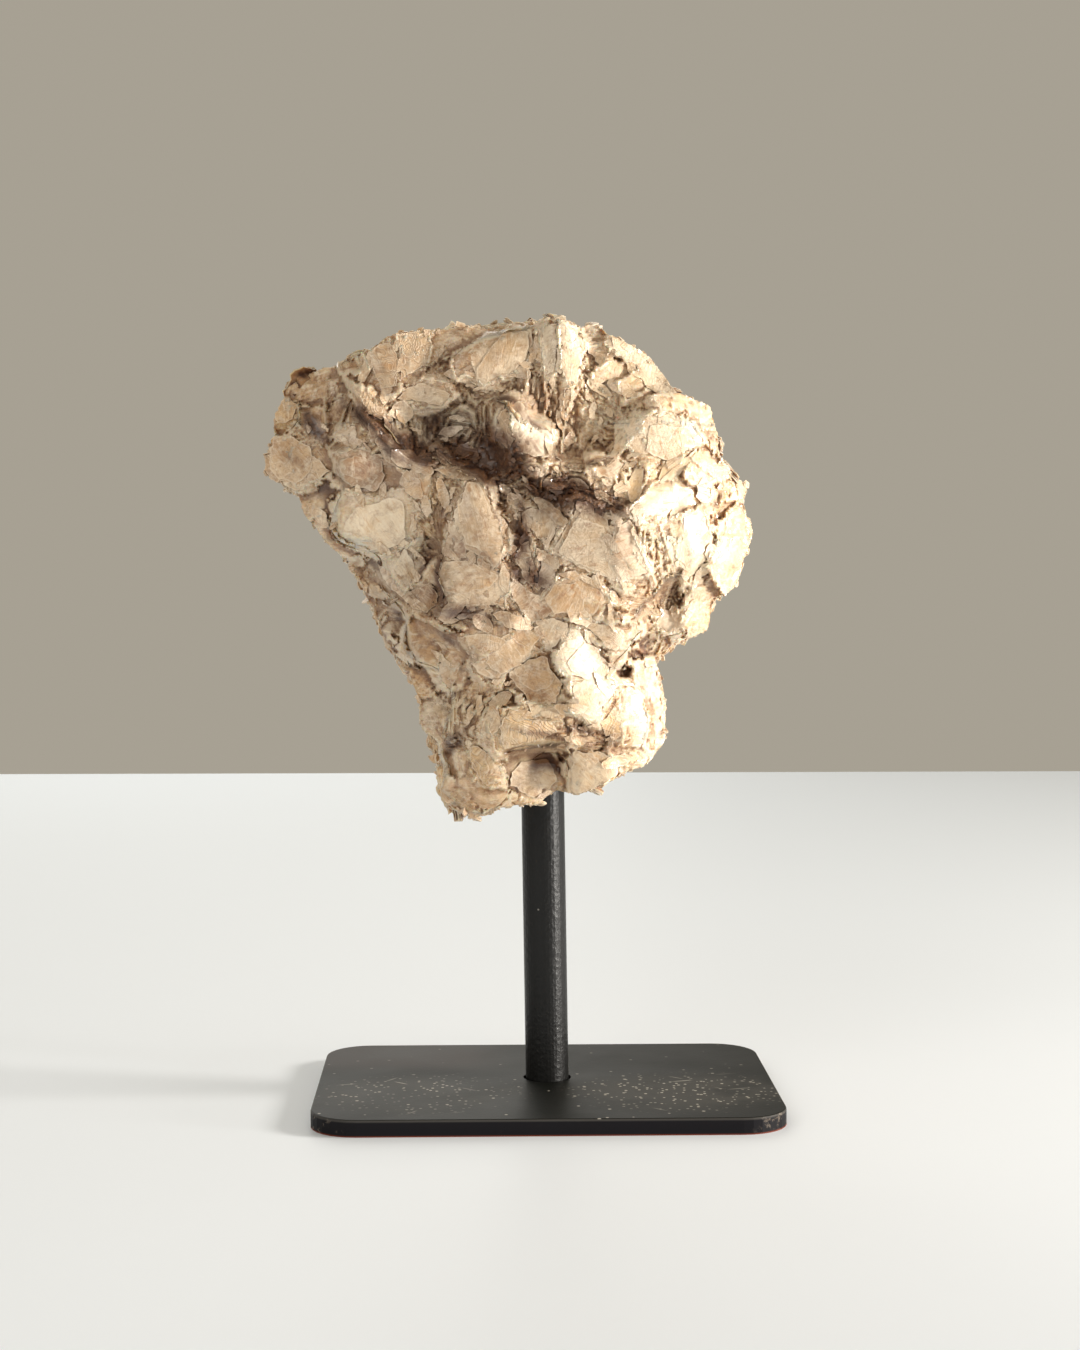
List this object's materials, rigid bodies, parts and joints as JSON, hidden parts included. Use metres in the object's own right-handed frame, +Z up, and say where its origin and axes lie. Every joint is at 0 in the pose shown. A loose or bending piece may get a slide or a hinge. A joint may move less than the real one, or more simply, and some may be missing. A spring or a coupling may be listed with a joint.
{
  "type": "mica cluster on stand",
  "caption": "Natural mica cluster of layered, flat-faced crystals, drilled from below and set on a black round metal post with a flat rounded rectangular base plate.",
  "frame": {"origin": "middle of the base plate's underside", "axes": "+Z up along the post, -Y towards the viewer of the display's front, +X to the viewer's right"},
  "size_m": [0.1101, 0.075, 0.171],
  "materials": {
    "base_paint": "matte black paint, a little dusty, worn at the front corners",
    "post_paint": "satin black powder coat with a fine grain",
    "mica": "pearly cream, tan and amber cleavage sheets with brown layered edges"
  },
  "bodies": {
    "root": {"base_plate": "base_paint", "post": "post_paint", "mica_cluster": "mica"}
  },
  "joints": []
}
